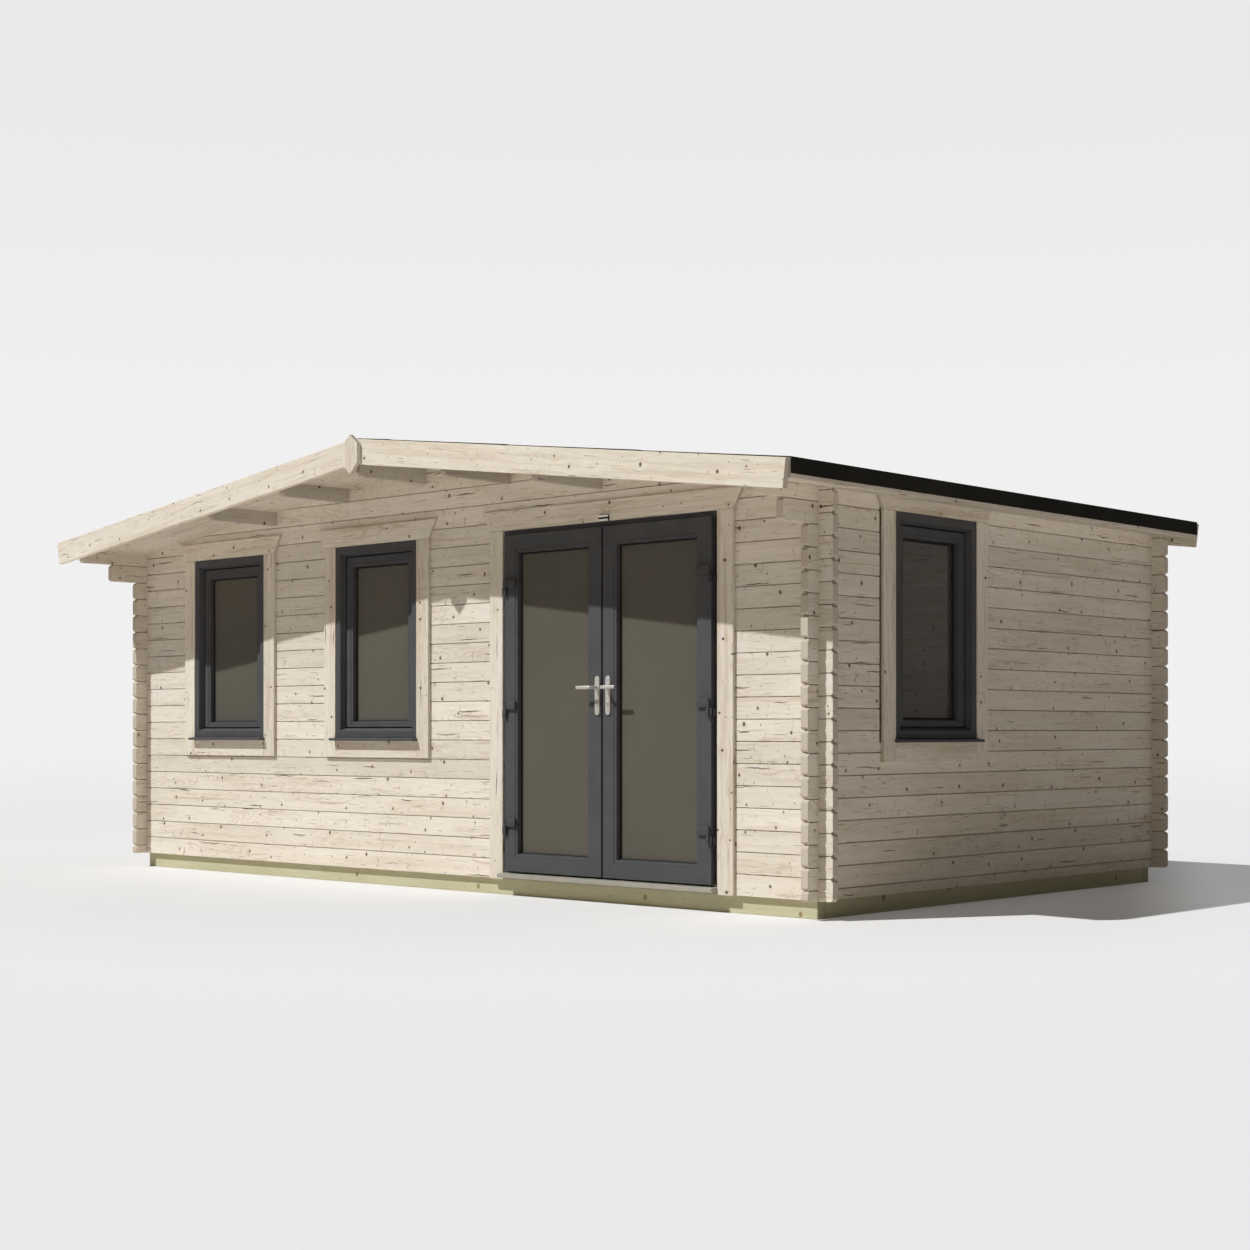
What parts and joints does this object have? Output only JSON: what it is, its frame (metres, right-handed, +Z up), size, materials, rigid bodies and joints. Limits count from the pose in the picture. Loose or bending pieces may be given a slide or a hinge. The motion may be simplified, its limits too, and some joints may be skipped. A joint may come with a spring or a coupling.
{
  "type": "log cabin",
  "caption": "Rectangular log cabin with crossed log corners, a low gable roof that overhangs the front, glazed double doors, and tall windows in the front and one side.",
  "frame": {"origin": "on the ground under the middle floor joist, in the middle of the wall footprint", "axes": "+X to the right along the front wall, +Y from the front wall to the back wall, +Z up"},
  "size_m": [6.368, 4.176, 2.6588],
  "materials": {
    "treated_timber": "rough, pressure treated",
    "floor_boards": "planed boards",
    "log_timber": "planed interlocking logs, untreated",
    "planed_timber": "planed, untreated",
    "insulation": "rigid foam",
    "roof_felt": "bitumen felt",
    "anthracite_plastic": "smooth satin",
    "glazing": "clear sealed units",
    "threshold": "painted",
    "dark_metal": "powder coated",
    "satin_metal": "satin"
  },
  "bodies": {
    "cabin": {"front_bearer": "treated_timber", "back_bearer": "treated_timber", "side_bearers": "treated_timber", "floor_joists": "treated_timber", "floor_boards": "floor_boards", "front_wall_left": "log_timber", "front_wall_right": "log_timber", "front_gable": "log_timber", "back_wall": "log_timber", "left_wall": "log_timber", "right_wall": "log_timber", "ridge_purlin": "planed_timber", "inner_purlins": "planed_timber", "outer_purlins": "planed_timber", "roof_boards_left": "planed_timber", "roof_boards_right": "planed_timber", "insulation_left": "insulation", "insulation_right": "insulation", "roof_felt_left": "roof_felt", "roof_felt_right": "roof_felt", "eaves_boards": "planed_timber", "front_bargeboard_left": "planed_timber", "front_bargeboard_right": "planed_timber", "back_bargeboard_left": "planed_timber", "back_bargeboard_right": "planed_timber", "finial": "planed_timber", "window_frames": "anthracite_plastic", "window_sashes": "anthracite_plastic", "window_glass": "glazing", "window_sills": "anthracite_plastic", "window_trims": "planed_timber", "door_frame": "anthracite_plastic", "door_trim": "planed_timber", "threshold": "threshold", "door_keep": "satin_metal", "frame_hinges": "dark_metal"},
    "left_door": {"left_leaf": "anthracite_plastic", "left_leaf_glass": "glazing", "left_leaf_hinges": "dark_metal", "left_handle_plate": "satin_metal"},
    "right_door": {"right_leaf": "anthracite_plastic", "right_leaf_glass": "glazing", "right_leaf_hinges": "dark_metal", "right_handle_plate": "satin_metal"},
    "left_handle": {"left_lever": "satin_metal"},
    "right_handle": {"right_lever": "satin_metal"}
  },
  "joints": [
    {"name": "left_door_swing", "type": "hinge", "parent": "cabin", "child": "left_door", "pos_m": [0.743, -1.768, 0], "axis": [0, 0, -1], "range_deg": [0, 100]},
    {"name": "right_door_swing", "type": "hinge", "parent": "cabin", "child": "right_door", "pos_m": [2.267, -1.768, 0], "axis": [0, 0, 1], "range_deg": [0, 100]},
    {"name": "left_lever_turn", "type": "hinge", "parent": "left_door", "child": "left_handle", "pos_m": [1.465, -1.765, 1.182], "axis": [0, -1, 0], "range_deg": [0, 40], "stiffness_Nm_per_rad": 1},
    {"name": "right_lever_turn", "type": "hinge", "parent": "right_door", "child": "right_handle", "pos_m": [1.545, -1.765, 1.182], "axis": [0, 1, 0], "range_deg": [0, 40], "stiffness_Nm_per_rad": 1}
  ]
}
